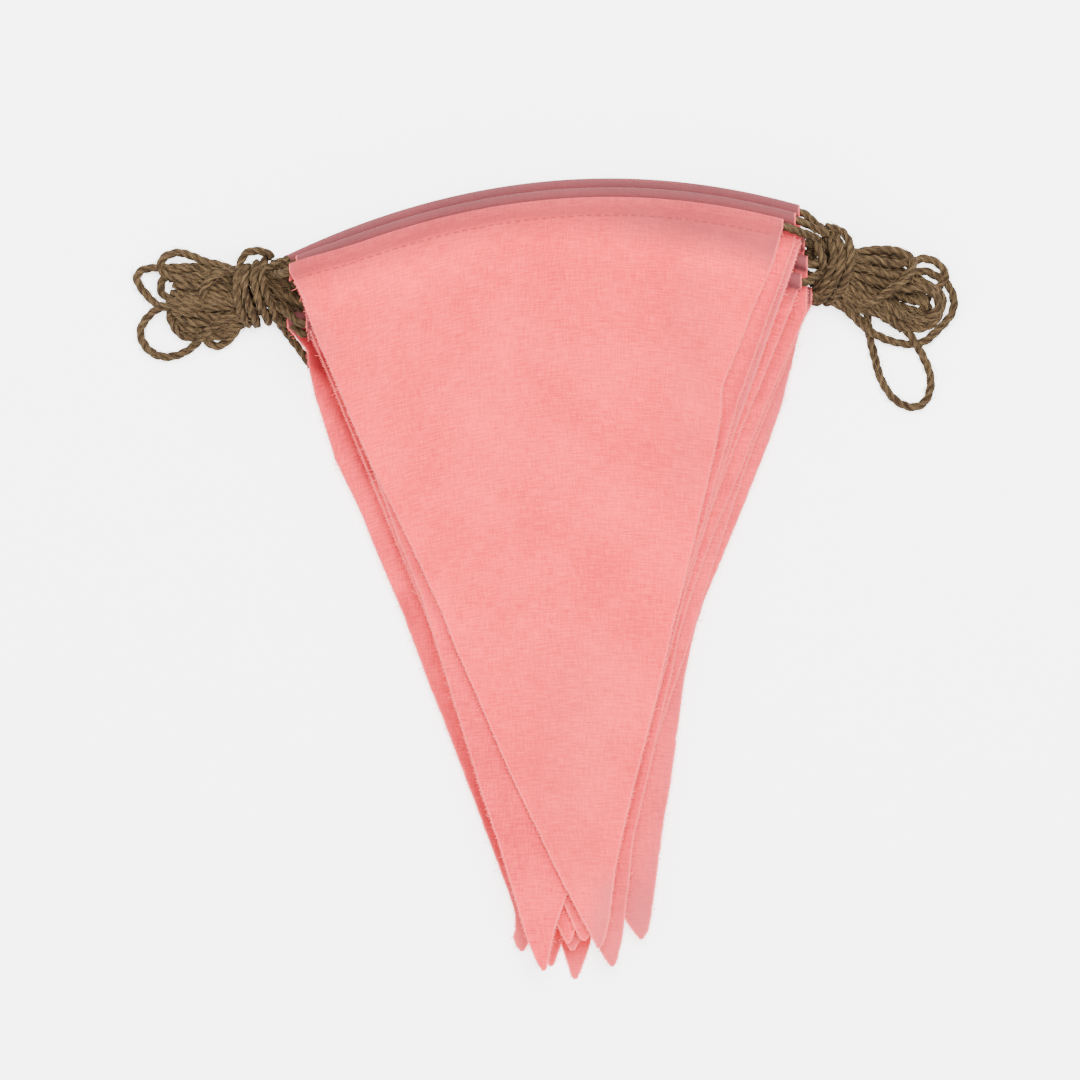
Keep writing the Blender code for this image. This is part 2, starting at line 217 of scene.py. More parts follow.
# Casings in millimetres (ends along X, depth below the heap's upper edge, height of the twine), then
# outlines in pixels of the photograph from the upper corner to the tip, where a hidden stretch runs
# straight, and how much the sheet follows the heap's folds and how much painted shade greys the whole
# sheet.
PENNANT_COLUMNS = ("number", "left_x", "right_x", "depth", "twine", "tip", "left", "right",
                   "follow", "sheet_shade")
PENNANTS = (
    (1, -104, 98, 8, 27.65, (598, 947),
     ((287, 266), (305, 300), (308, 313), (320, 344), (334, 376), (352, 420), (374, 470),
      (396, 514), (418, 560), (439, 605), (457, 650), (479, 700), (509, 770), (532, 818),
      (557, 870), (575, 905), (589, 931), (595, 942)),
     ((786, 216), (782, 228), (778, 243), (773, 261), (765, 281), (752, 310), (741, 340),
      (729, 370), (722.5, 385), (721, 392), (721, 410), (716, 444), (709, 475), (698, 522),
      (687, 570), (674, 621), (656, 700), (635, 780), (622, 836), (615, 869), (611, 905),
      (608, 925), (604, 939), (602, 943)), 1.0, 0.0),
    (2, -99, 101, 4, 19.89, (544, 970),
     ((296, 262), (383, 494), (399, 540), (422, 597), (444, 668), (466, 741), (483, 797),
      (498, 840), (517, 904), (526, 935), (536, 960), (540, 967)),
     ((795, 214), (794, 243), (766, 322), (738, 402), (716, 480), (693, 560), (620, 760),
      (567, 894), (557, 920), (549, 955), (547, 967)), 0.88, 0.0),
    (3, -105, 103, 0, 7.16, (584, 940),
     ((286, 258), (410, 560), (500, 780), (557, 888), (576, 930), (580, 938)),
     ((799, 206), (800, 244), (770, 330), (735, 430), (692, 570), (640, 760), (601, 890),
      (594, 925), (588, 938)), 0.77, 0.12),
    (4, -97, 107, 28, 23.38, (567, 943),
     ((305, 318), (420, 600), (500, 800), (548, 905), (563, 936), (565, 941)),
     ((809, 258), (803, 276), (776, 345), (741, 430), (700, 540), (640, 730), (594, 880),
      (577, 922), (571, 941)), 0.66, 0.0),
    (5, -95, 106, 20, 18.92, (612, 966),
     ((310, 300), (440, 600), (560, 850), (588, 925), (600, 950), (608, 963)),
     ((807, 246), (806, 312), (785, 361), (763, 412), (740, 471), (715, 530), (694, 587),
      (680, 631), (672, 672), (647, 780), (633, 840), (628, 890), (622, 940), (616, 963)), 0.55, 0.06),
    (6, -98, 105, 12, 13.67, (572, 950),
     ((302, 283), (430, 620), (540, 880), (568, 947)),
     ((805, 226), (800, 330), (756, 439), (735, 500), (714, 563), (690, 640), (650, 760),
      (600, 900), (576, 947)), 0.44, 0.15),
    (7, -96, 108, 32, 10.93, (641, 939),
     ((307, 330), (450, 600), (590, 840), (627, 922), (634, 932), (637, 936)),
     ((812, 286), (811, 306), (800, 327), (793, 358), (783, 400), (773, 430), (754, 479),
      (728, 543), (704, 600), (692, 640), (684, 680), (671, 780), (664, 818), (656, 880),
      (651, 918), (648, 930), (645, 936)), 0.34, 0.18),
    (8, -105, 107, 24, 8.74, (521, 951),
     ((285, 314), (290, 330), (307, 350), (308, 363), (314, 392), (336, 461), (360, 510),
      (380, 560), (402, 611), (425, 673), (450, 737), (480, 816), (508, 890), (515, 912),
      (515, 930), (512, 940), (518, 948)),
     ((810, 260), (740, 420), (640, 660), (560, 860), (535, 925), (526, 948)), 0.24, 0.05),
    (9, -97, 106, 16, 6.39, (551, 966),
     ((304, 296), (420, 610), (500, 850), (538, 940), (547, 962)),
     ((808, 240), (740, 430), (650, 690), (568, 925), (555, 962)), 0.14, 0.1),
    (10, -98, 105, 8, 3.65, (575, 979),
     ((302, 276), (420, 600), (520, 850), (559, 937), (568, 965), (571, 975)),
     ((805, 220), (730, 440), (650, 700), (594, 920), (590, 945), (581, 970), (579, 975)), 0.0, 0.12),
)

# Soft ridges of the heap, as (x, y, x, y, half width, height) in pixels and
# millimetres; the sheets share them, the upper ones most
FOLD_GAIN = 1.5
FOLDS = (
    (640, 215, 700, 330, 34, 1.1), (700, 330, 728, 385, 26, 1.6), (430, 240, 470, 420, 40, 0.9),
    (520, 330, 560, 560, 46, 0.9), (620, 420, 600, 640, 40, 1.0), (350, 270, 420, 450, 30, 1.1),
    (480, 640, 600, 660, 34, 0.7), (560, 760, 640, 740, 30, 0.9), (560, 860, 590, 940, 20, 1.2),
    (690, 420, 665, 560, 24, 1.3), (780, 300, 740, 400, 20, 1.0),
)


# Near the casing's left end pennants 1 and 2 gather towards the upper edge
GATHER, GATHER_X, GATHER_REACH = 0.42, -105, 18

# Passes that settle a row between its raw sides, how a pennant rounds off at its tip,
# how far its foot stands off the twine's height, and where the heap's folds set in
SETTLING_PASSES = 6
TIP_START, TIP_ROUNDING, TIP_HALF_WIDTH, TIP_BLUNTNESS = 2.6, 2.8, 1.2, 0.02
FOOT_RISE, FRONT_FOOT_RISE = -0.05, 2.1
FOLDS_START, FOLDS_FULL = 12, 42


def heap_mm(px, py):
    """A pixel of the photograph as millimetres in the object's frame."""
    return (px - MIDDLE[0]) * PIXEL * 1000, (MIDDLE[1] - py) * PIXEL * 1000


def head_y(x):
    """The heap's upper edge: Y at x, in the object's frame."""
    (x0, y0), (x1, y1), crown = HEAD
    u = (x + CENTRE[0] - x0) / (x1 - x0)
    return y0 + (y1 - y0) * u + crown * 4 * u * (1 - u) - CENTRE[1]


def side_x(side, y):
    """X of a raw side at y, from its pixels."""
    points = np.array([heap_mm(*pixel) for pixel in side])[::-1]
    return np.interp(y, points[:, 1], points[:, 0])


def fold_height(x, y):
    """How far the heap's ridges lift a sheet that lies fully on them."""
    total = np.zeros_like(x)
    for ax, ay, bx, by, width, height in FOLDS:
        a, b = np.array(heap_mm(ax, ay)), np.array(heap_mm(bx, by))
        reach = width * PIXEL * 1000
        along = np.clip(((x - a[0]) * (b - a)[0] + (y - a[1]) * (b - a)[1]) / ((b - a) @ (b - a)), 0, 1)
        away = np.hypot(x - a[0] - along * (b - a)[0], y - a[1] - along * (b - a)[1])
        total += FOLD_GAIN * height * np.exp(-(away / reach) ** 2)
    return total


# Where the cloth is greyed, as painted shade where it turns away from the light and as greyer tips, and
# where painted shadow stands for its neighbours' shade, as (first and last pennant, x, y, x, y, reach,
# share) in pixels of the photograph
GREY_AND_SHADE_SPOTS = (
    (1, 1, 596, 950, 612, 890, 17, 0.55), (5, 7, 600, 975, 660, 905, 40, 0.50),
    (10, 10, 560, 985, 590, 960, 26, 0.25),
    (8, 9, 505, 900, 525, 955, 22, 0.60), (3, 3, 800, 250, 740, 420, 6, 0.6),
    (7, 7, 808, 300, 770, 440, 8, 0.35),
    (1, 1, 640, 224, 760, 246, 18, 0.25), (1, 1, 784, 222, 770, 262, 10, 0.3),
    (1, 1, 560, 880, 590, 700, 60, 0.12), (1, 1, 690, 300, 690, 480, 30, 0.12),
    (7, 7, 690, 660, 660, 860, 12, 0.25), (1, 1, 290, 270, 330, 350, 9, 0.22),
    (2, 3, 620, 176, 690, 190, 9, 0.35), (2, 3, 450, 196, 520, 182, 8, 0.3),
    (3, 3, 330, 240, 390, 214, 8, 0.35),
)
SHADED = (
    (2, 10, 296, 318, 322, 362, 13, 0.85), (2, 10, 322, 362, 372, 470, 9, 0.6),
    (2, 10, 372, 470, 575, 905, 6, 0.35), (2, 10, 794, 243, 716, 444, 4, 0.3),
    (2, 10, 716, 444, 622, 836, 5, 0.3), (5, 10, 806, 290, 756, 400, 5, 0.3),
    (2, 2, 300, 262, 420, 213, 4, 0.5), (2, 2, 420, 213, 560, 188, 4, 0.5),
    (2, 2, 560, 188, 700, 194, 4, 0.5), (2, 2, 700, 194, 794, 214, 4, 0.5),
    (3, 3, 420, 205, 560, 182, 3, 0.4), (3, 3, 560, 182, 700, 187, 3, 0.4),
    (3, 3, 700, 187, 799, 208, 4, 0.5), (8, 10, 402, 600, 500, 860, 8, 0.35),
    (3, 10, 545, 905, 560, 960, 10, 0.45),
)


def soft_spots(spots, number, x, y):
    """How strongly the spots that lie on this pennant show at a point."""
    total = 0.0
    for first, last, ax, ay, bx, by, reach, share in spots:
        if first <= number <= last:
            (x0, y0), (x1, y1) = heap_mm(ax, ay), heap_mm(bx, by)
            along = ((x - x0) * (x1 - x0) + (y - y0) * (y1 - y0)) / ((x1 - x0) ** 2 + (y1 - y0) ** 2)
            along = min(max(along, 0), 1)
            away = math.hypot(x - x0 - along * (x1 - x0), y - y0 - along * (y1 - y0))
            total += share * math.exp(-(away / (reach * PIXEL * 1000)) ** 2)
    return total


def cloth_points(row, across, below):
    """Points at shares across and millimetres below the casing, on the sheet's middle."""
    tip = heap_mm(*row["tip"])
    length = head_y(tip[0]) - row["depth"] - tip[1]
    u, down = np.meshgrid(across, below)
    flat = np.clip((down - SLOPE_ENDS) / (length - SLOPE_ENDS), 0, 1)
    middle = np.full_like(u, (row["left_x"] + row["right_x"]) / 2)
    x = middle * (1 - down / length) + tip[0] * down / length
    for _ in range(SETTLING_PASSES):
        gathered = row["depth"]
        if row["number"] < 3:
            gathered = gathered * (1 - GATHER * np.exp(-((x - GATHER_X) / GATHER_REACH) ** 2))
        y = (head_y(x) - gathered - down) * (1 - flat) + (tip[1] + length - down) * flat
        left, right = side_x(row["left"], y), side_x(row["right"], y)
        narrowed = np.clip((down - length + TIP_START) / TIP_ROUNDING, 0, 1)
        rounding = np.sqrt(np.clip(1 - narrowed ** 2, TIP_BLUNTNESS, 1))
        half = np.maximum((right - left) / 2, TIP_HALF_WIDTH) * rounding
        x = (left + right) / 2 + half * (2 * u - 1)
    foot = FRONT_FOOT_RISE if row["number"] == 1 else FOOT_RISE
    falls = np.array(((row["depth"] + HEM, row["twine"] + foot),) + FALLS[row["number"]])
    z = np.interp(row["depth"] + down, falls[:, 0], falls[:, 1])
    settled = np.clip((down - FOLDS_START) / (FOLDS_FULL - FOLDS_START), 0, 1)
    z = z + fold_height(x, y) * row["follow"] * settled
    return np.stack([x, y, z], axis=-1), length


# The casing is laid in steps of an angle round the twine, from its underside past its
# far side and top; points crowd a little towards the raw sides, and rows at the tip
CASING_STEP, CASING_END, FRONT_CASING_END, LAID_ANGLE = 15, -75, -15, 75
EDGE_CROWDING = 0.35
TIP_STEPS = (2.4, 1.6, 1.0, 0.5, 0.2, 0.0)


def pennant_rows(row, columns, spacing):
    """Rows of points from the hem's cut edge, round the casing, to the tip."""
    even = np.linspace(0, 1, columns + 1)
    crowded = (1 - np.cos(np.linspace(0, math.pi, columns + 1))) / 2
    across = crowded * EDGE_CROWDING + even * (1 - EDGE_CROWDING)
    top, length = cloth_points(row, across, [0.0])
    rows = []
    hem = top[0].copy()
    hem[:, 1] -= HEM
    hem[:, 2] = row["twine"] - CASING
    rows.append((-3 * HEM, hem))
    last = FRONT_CASING_END if row["number"] == 1 else CASING_END
    for angle in range(180, last - 1, -CASING_STEP):
        ring = top[0].copy()
        ring[:, 1] += CASING * math.sin(math.radians(angle))
        ring[:, 2] = row["twine"] + CASING * math.cos(math.radians(angle))
        rows.append((-CASING * math.radians(angle + LAID_ANGLE) - HEM, ring))
    belows = np.concatenate([[HEM], np.arange(HEM + spacing, length - 3, spacing),
                             length - np.array(TIP_STEPS)])
    laid, _ = cloth_points(row, across, belows)
    return across, rows + list(zip(belows, laid)), length


# Light and deep dye, how much painted shade darkens the band where the cloth turns over the casing away
# from the light, and that band's slant; then the colours of the greyer places (painted shade, and greyer
# tips), of painted shadow, of the painted shade on that band, and of the paler cut edges (partly a
# painted sheen), and the fineness of the cloth's texture
# The under sheets' dye is darker than the front's: painted shade for the sheets that lie beneath it
COTTON_SHADES = {
    "front": ((1.0, 0.054, 0.070, 1), (0.68, 0.028, 0.041, 1), 0.6, 0.11),
    "under": ((0.92, 0.050, 0.070, 1), (0.58, 0.027, 0.042, 1), 0.9, 0.0),
}
# The greyer colour is painted shade where the cloth turns away from the light, and the greyer tips; the
# shadowed colour is painted shadow
GREY_AND_SHADE, SHADOWED = (0.44, 0.095, 0.102, 1), (0.24, 0.014, 0.018, 1)
# The cut edge's paler colour is partly the frayed edge's own and partly a painted sheen
# The first colour here is painted shade on the band where the cloth turns over the casing
TURNING_SHADE, PALE_EDGE_AND_SHEEN = (0.105, 0.039, 0.043, 1), (0.95, 0.14, 0.14, 1)
ALONG, ACROSS, CLOUDS, GRAIN = 160.0, 1700.0, 26.0, 1100.0
WEAVE_PITCH = 0.00085


def cotton(name, light, deep, turning_shade_share, slant):
    """Plain-weave cotton: slubbed threads both ways, cloudy dye, painted shade and shadow, and paler raw
    edges that are partly a painted sheen.
    """
    finish = Finish(name, 0.92)
    flat = finish.add("ShaderNodeUVMap", {"uv_map": "cloth"}, {})
    raw = finish.add("ShaderNodeAttribute", {"attribute_name": "raw_edge"}, {}, "Fac")
    weft = finish.speckle(flat, 1.0, (ALONG, ACROSS, 1.0), 3.0)
    warp = finish.speckle(flat, 1.0, (ACROSS, ALONG, 1.0), 3.0)
    cloud = finish.speckle(flat, 1.0, (CLOUDS, CLOUDS, 1.0), 3.0)
    grain = finish.speckle(flat, 1.0, (GRAIN, GRAIN, 1.0), 1.0)
    threads = (weft - 0.5) * 1.5 + (warp - 0.5) * 1.1 + (grain - 0.5) * 0.5
    depth = (threads * 1.5 + (cloud - 0.5) * 1.7 + 0.5).held(0.0, 1.0)
    body = finish.mix(depth, light, deep)
    u = finish.part(flat, 0)
    v = finish.part(flat, 1)
    # Painted shade on the band where the cloth turns over the casing, away from the light
    turning_shade = (v + u.maths("MAXIMUM", u, 0.0) * slant).held(-0.013, 0.0)
    # Painted shade where the cloth turns away from the light, and greyer tips
    grey_and_shade = finish.add("ShaderNodeAttribute", {"attribute_name": "grey_and_shade"}, {}, "Fac")
    shaded = finish.add("ShaderNodeAttribute", {"attribute_name": "shaded"}, {}, "Fac")
    with_grey_and_shade = finish.mix(grey_and_shade, body, GREY_AND_SHADE)
    deeper = finish.mix(shaded, with_grey_and_shade, SHADOWED)
    folded = finish.mix(turning_shade * turning_shade_share, deeper, TURNING_SHADE)
    # Paler raw edges, partly a painted sheen
    finish.set("Base Color", finish.mix((1 - raw.held(0.1, 0.9)) * 0.7, folded, PALE_EDGE_AND_SHEEN))
    pitch = 2 * math.pi / WEAVE_PITCH
    checks = (u * pitch).sine() * (v * pitch).sine()
    finish.relief(checks * 0.25 + threads, 0.00014, 0.8)
    finish.set("Roughness", 0.86 + depth * 0.12)
    return finish.material


# How far a raw side strays, and a grid's columns and row spacing in millimetres
RAGGEDNESS = 0.45
FRONT_GRID, UNDER_GRID = (96, 1.9), (56, 3.0)


def lay_pennant(row, columns, spacing, dress):
    """One pennant as a grid of thin cloth, with its flat chart and its soft spots of painted shade,
    painted shadow and greyer tips.
    """
    across, rows, length = pennant_rows(row, columns, spacing)
    grid = bmesh.new()
    bmesh.ops.create_grid(grid, x_segments=len(across) - 1, y_segments=len(rows) - 1, size=1.0)
    chart = grid.loops.layers.uv.new("cloth")
    edge = grid.verts.layers.float.new("raw_edge")
    grey_and_shade = grid.verts.layers.float.new("grey_and_shade")
    shaded = grid.verts.layers.float.new("shaded")
    count = len(across)
    flat = {}
    for index, vertex in enumerate(grid.verts):
        below, points = rows[index // count]
        x, y, z = points[index % count]
        half = (points[-1][0] - points[0][0]) / 2
        u = across[index % count]
        waver = noise.noise(Vector((y * 1.3, row["number"] * 7.0 + u * 3, 0)))
        ragged = waver * RAGGEDNESS * abs(2 * u - 1) ** 12
        vertex.co = ((x + ragged) / 1000, y / 1000, max(z, CLOTH / 2 + 0.02) / 1000)
        vertex[edge] = min((1 - abs(2 * u - 1)) * half, length - below)
        flat[vertex] = ((2 * u - 1) * half / 1000, (-below) / 1000)
        # Painted shade and greyer tips, then painted shadow from the neighbouring sheets
        vertex[grey_and_shade] = min(1.0, row["sheet_shade"] + soft_spots(GREY_AND_SHADE_SPOTS, row["number"], x, y))
        vertex[shaded] = min(1.0, soft_spots(SHADED, row["number"], x, y))
    for face in grid.faces:
        face.smooth = True
        for loop in face.loops:
            loop[chart].uv = flat[loop.vert]
    bmesh.ops.recalc_face_normals(grid, faces=grid.faces)
    mesh = bpy.data.meshes.new(f"cotton_{row['number']:02d}")
    grid.to_mesh(mesh)
    grid.free()
    mesh.materials.append(dress)
    piece = bpy.data.objects.new(mesh.name, mesh)
    wall = piece.modifiers.new("cloth", "SOLIDIFY")
    wall.thickness = CLOTH / 1000
    wall.offset = 0.0
    bpy.context.scene.collection.objects.link(piece)
    return piece, rows, length


front_cotton = cotton("front_cotton", *COTTON_SHADES["front"])
# A darker copy of the cotton for the sheets beneath the front one: painted shade
shaded_under_cotton = cotton("shaded_under_cotton", *COTTON_SHADES["under"])
laid_pennants = {}
for values in PENNANTS:
    row = dict(zip(PENNANT_COLUMNS, values))
    number = row["number"]
    fine = number == 1
    piece, rows, length = lay_pennant(row, *(FRONT_GRID if fine else UNDER_GRID),
                                      front_cotton if fine else shaded_under_cotton)
    laid_pennants[number] = (row, rows, length, piece)
    node = f"pennant_{number:02d}"
    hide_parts(node)
    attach(piece, "root")


# Frayed threads: short ends of weft and warp that stand out along the raw sides,
# with a few long ones that have pulled loose. They are part of each pennant.
# Their lengths and spacing are in millimetres, and their radius and the pennant's
# flat sizes in metres.
THREAD = 0.00009
SHORT_ENDS, LONG_ENDS, SHORT_SHARE = (0.3, 0.85), (1.2, 2.8), 0.97
THREAD_SPACING = (0.3, 0.8)
TOP_WIDTH = 0.207
CASING_ALLOWANCE = 0.01
chance = random.Random(11)

fray = Finish("frayed_thread", 0.95)
where = fray.add("ShaderNodeTexCoord", {}, {}, "Object")
fray.set("Base Color", fray.mix(fray.speckle(where, 300.0, (1, 1, 1)),
                                (0.95, 0.22, 0.22, 1), (0.85, 0.09, 0.095, 1)))


def thin_tubes(name, routes, radius, dress):
    """Many short tubes as one mesh, each with as few sides as a tube can have."""
    curve = bpy.data.curves.new(name, "CURVE")
    curve.dimensions = "3D"
    curve.bevel_depth = radius
    curve.bevel_resolution = 0
    curve.use_fill_caps = True
    for route in routes:
        spline = curve.splines.new("POLY")
        spline.points.add(len(route) - 1)
        for point, (x, y, z) in zip(spline.points, route):
            point.co = (x / 1000, y / 1000, z / 1000, 1.0)
    rough = bpy.data.objects.new(name, curve)
    bpy.context.scene.collection.objects.link(rough)
    bpy.context.view_layer.update()
    mesh = bpy.data.meshes.new_from_object(rough.evaluated_get(bpy.context.evaluated_depsgraph_get()))
    bpy.data.objects.remove(rough)
    mesh.name = name
    mesh.materials.clear()
    mesh.materials.append(dress)
    piece = bpy.data.objects.new(name, mesh)
    bpy.context.scene.collection.objects.link(piece)
    return piece


for number, (row, rows, length, cloth_piece) in laid_pennants.items():
    threads = []
    for column, outward in ((0, -1), (-1, 1)):
        side = np.array([points[column] for below, points in rows if below >= HEM])
        steps = np.concatenate([[0], np.cumsum(np.linalg.norm(np.diff(side, axis=0), axis=1))])
        place = 1.0
        while place < steps[-1] - 1:
            start = np.array([np.interp(place, steps, side[:, k]) for k in range(3)])
            reach = chance.uniform(*(SHORT_ENDS if chance.random() < SHORT_SHARE else LONG_ENDS))
            turn = math.radians(chance.gauss(-8 if outward > 0 else 188, 32))
            bend = chance.uniform(-0.5, 0.5)
            rise = chance.uniform(0.0, 0.35)
            route = []
            for step in (-0.4, 0.3, 0.7, 1.0):
                heading = turn + bend * step
                route.append((start[0] + math.cos(heading) * reach * step,
                              start[1] + math.sin(heading) * reach * step,
                              max(start[2] + rise * max(step, 0) * reach * 0.5, 0.15)))
            threads.append(route)
            place += chance.uniform(*THREAD_SPACING)
    fringe = thin_tubes(f"fray_{number:02d}", threads, THREAD, fray.material)
    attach(fringe, "root")
    length / 1000 + CASING_ALLOWANCE
    TOP_WIDTH * length / 2000


# Stitches: one row of pale sewing thread along each casing, a little below the twine.
# A few of the third pennant's show on the far side of its casing.
STITCH = 3.6
STITCH_LENGTH = 0.72
STITCH_LIFTS = (0.10, 0.36, 0.42, 0.36, 0.10)
SEAM_THREAD = 0.00016
BACK_STITCHES, BACK_STITCH_STEP = range(622, 684, 9), 1.6
BACK_SEAM, BACK_SEAM_RISE = 2.0, 1.9

sewing = Finish("sewing_thread", 0.8)
seam_place = sewing.add("ShaderNodeTexCoord", {}, {}, "Object")
sewing.set("Base Color", sewing.mix(sewing.speckle(seam_place, 500.0, (1, 1, 1)),
                                    (0.36, 0.060, 0.066, 1), (0.22, 0.040, 0.045, 1)))
for number, (row, rows, length, cloth_piece) in laid_pennants.items():
    shares = np.linspace(0.005, 0.995, 900)
    line, _ = cloth_points(row, shares, [HEM + 0.4])
    line = line[0]
    steps = np.concatenate([[0], np.cumsum(np.linalg.norm(np.diff(line, axis=0), axis=1))])
    stitches = []
    for start in np.arange(1.0, steps[-1] - STITCH, STITCH):
        places = [start + share * STITCH * STITCH_LENGTH for share in (0.0, 0.2, 0.5, 0.8, 1.0)]
        at = [np.array([np.interp(place, steps, line[:, k]) for k in range(3)]) for place in places]
        stitches.append([(p[0], p[1], p[2] + up) for p, up in zip(at, STITCH_LIFTS)])
    if number == 3:
        for px in BACK_STITCHES:
            along = [heap_mm(px + step * BACK_STITCH_STEP, 0)[0] for step in range(len(STITCH_LIFTS))]
            stitches.append([(x, head_y(x) - row["depth"] + BACK_SEAM, row["twine"] + BACK_SEAM_RISE + up)
                             for x, up in zip(along, STITCH_LIFTS)])
    seam = thin_tubes(f"stitches_{number:02d}", stitches, SEAM_THREAD, sewing.material)
    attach(seam, "root")


# Jute twine: three plies laid together, hairy, about 3.4 mm thick. One length runs
# through every casing, and what lies between two pennants is gathered at a corner.
TWINE_RADIUS = 1.88
LAY = 13.5
PLIES = 3
PLY_CORNERS = 18
PLY_OFFSET, PLY_RADIUS = 0.38, 0.62
STRAND_STEP, STRAND_APART = 0.8, 40
CLOSED_END = 0.03
HAIR_RADIUS = 0.00006
HAIR_LENGTHS = (1.0, 3.6)
HAIR_CLEARANCE = 0.1

jute = Finish("jute_twine", 0.9)
fibre_place = jute.add("ShaderNodeTexCoord", {}, {}, "Object")
lie = jute.add("ShaderNodeAttribute", {"attribute_name": "lie"}, {}, "Vector")
# Painted shade on the twine: lighter on the plies' crowns, darker in the grooves between them
crown = jute.add("ShaderNodeAttribute", {"attribute_name": "crown"}, {}, "Fac")
mottle = jute.speckle(fibre_place, 220.0, (1, 1, 1), 3.0)
streak = jute.speckle(lie, 1.0, (7.0, 7.0, 0.45), 3.0)
# The crown term paints the grooves between plies darker and their crowns lighter
tone = ((mottle - 0.5) * 0.7 + (streak - 0.5) * 2.9 + crown * 0.36 + 0.12).held(0.0, 1.0)
jute.set("Base Color", jute.mix(tone, (0.016, 0.0088, 0.0046, 1), (0.130, 0.084, 0.041, 1)))
jute.relief(streak, 0.0004, 0.8)
jute.set("Roughness", 0.84 + mottle * 0.12)

hair = Finish("jute_fibre", 0.9)
hair_place = hair.add("ShaderNodeTexCoord", {}, {}, "Object")
hair.set("Base Color", hair.mix(hair.speckle(hair_place, 200.0, (1, 1, 1)),
                                (0.09, 0.055, 0.03, 1), (0.20, 0.14, 0.08, 1)))


def eased(points, spacing):
    """Points every spacing millimetres on a smooth curve through the given ones."""
    points = np.array(points, float)
    padded = np.vstack([2 * points[0] - points[1], points, 2 * points[-1] - points[-2]])
    fine = []
    for a, b, c, d in zip(padded, padded[1:], padded[2:], padded[3:]):
        for t in np.arange(0, 1, 0.05):
            fine.append(0.5 * (2 * b + (c - a) * t + (2 * a - 5 * b + 4 * c - d) * t ** 2
                               + (3 * b - a - 3 * c + d) * t ** 3))
    fine = np.array(fine + [points[-1]])
    steps = np.concatenate([[0], np.cumsum(np.linalg.norm(np.diff(fine, axis=0), axis=1))])
    wanted = np.linspace(0, steps[-1], max(3, round(steps[-1] / spacing) + 1))
    return np.stack([np.interp(wanted, steps, fine[:, axis]) for axis in range(3)], axis=1)


def three_plies():
    """The twine's cross-section: round plies side by side."""
    sector = 2 * math.pi / PLIES
    profile = bpy.data.curves.new("plies", "CURVE")
    profile.dimensions = "2D"
    spline = profile.splines.new("POLY")
    spline.points.add(PLY_CORNERS - 1)
    spline.use_cyclic_u = True
    for index, point in enumerate(spline.points):
        angle = 2 * math.pi * index / PLY_CORNERS
        turn = (angle + sector / 2) % sector - sector / 2
        bulge = math.sqrt(PLY_RADIUS ** 2 - (PLY_OFFSET * math.sin(turn)) ** 2)
        out = TWINE_RADIUS * (PLY_OFFSET * math.cos(turn) + bulge)
        point.co = (out * math.cos(angle) / 1000, out * math.sin(angle) / 1000, 0, 1)
    made = bpy.data.objects.new("plies", profile)
    bpy.context.scene.collection.objects.link(made)
    return made


def laid_twine(name, routes):
    """Strands of twisted twine as one mesh, and their smooth routes."""
    profile = three_plies()
    curve = bpy.data.curves.new(name, "CURVE")
    curve.dimensions = "3D"
    curve.bevel_mode = "OBJECT"
    curve.bevel_object = profile
    smooth = [eased(route, STRAND_STEP) for route in routes]
    for index, route in enumerate(smooth):
        spline = curve.splines.new("POLY")
        spline.points.add(len(route) - 1)
        for step, (point, (x, y, z)) in enumerate(zip(spline.points, route)):
            point.co = (x / 1000, y / 1000, max(z, TWINE_RADIUS) / 1000, 1.0)
            point.tilt = 2 * math.pi * step * STRAND_STEP / LAY + index
            point.radius = 0.96 + 0.10 * noise.noise(Vector((x * 0.2, y * 0.2, index)))
            if step in (0, len(route) - 1):
                point.radius = CLOSED_END
    rough = bpy.data.objects.new(name, curve)
    bpy.context.scene.collection.objects.link(rough)
    bpy.context.view_layer.update()
    mesh = bpy.data.meshes.new_from_object(rough.evaluated_get(bpy.context.evaluated_depsgraph_get()))
    bpy.data.objects.remove(rough)
    bpy.data.objects.remove(profile)
    mesh.name = name
    mesh.materials.clear()
    mesh.materials.append(jute.material)
    mesh.shade_smooth()
    steps = np.concatenate([np.arange(len(route)) * STRAND_STEP + STRAND_APART * place
                            for place, route in enumerate(smooth)])
    angles = np.tile(np.arange(PLY_CORNERS) * 2 * math.pi / PLY_CORNERS, len(steps))
    lie_of = np.stack([np.cos(angles), np.sin(angles), np.repeat(steps, PLY_CORNERS)], axis=1)
    mesh.attributes.new("lie", "FLOAT_VECTOR", "POINT").data.foreach_set("vector", lie_of.ravel())
    # Painted shade for the twine: 1 on each ply's crown, 0 in the grooves between plies
    ply_light_and_groove_shade = 0.5 + 0.5 * np.cos(PLIES * angles)
    mesh.attributes.new("crown", "FLOAT", "POINT").data.foreach_set("value", ply_light_and_groove_shade)
    piece = bpy.data.objects.new(name, mesh)
    bpy.context.scene.collection.objects.link(piece)
    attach(piece, "root")
    return piece, smooth


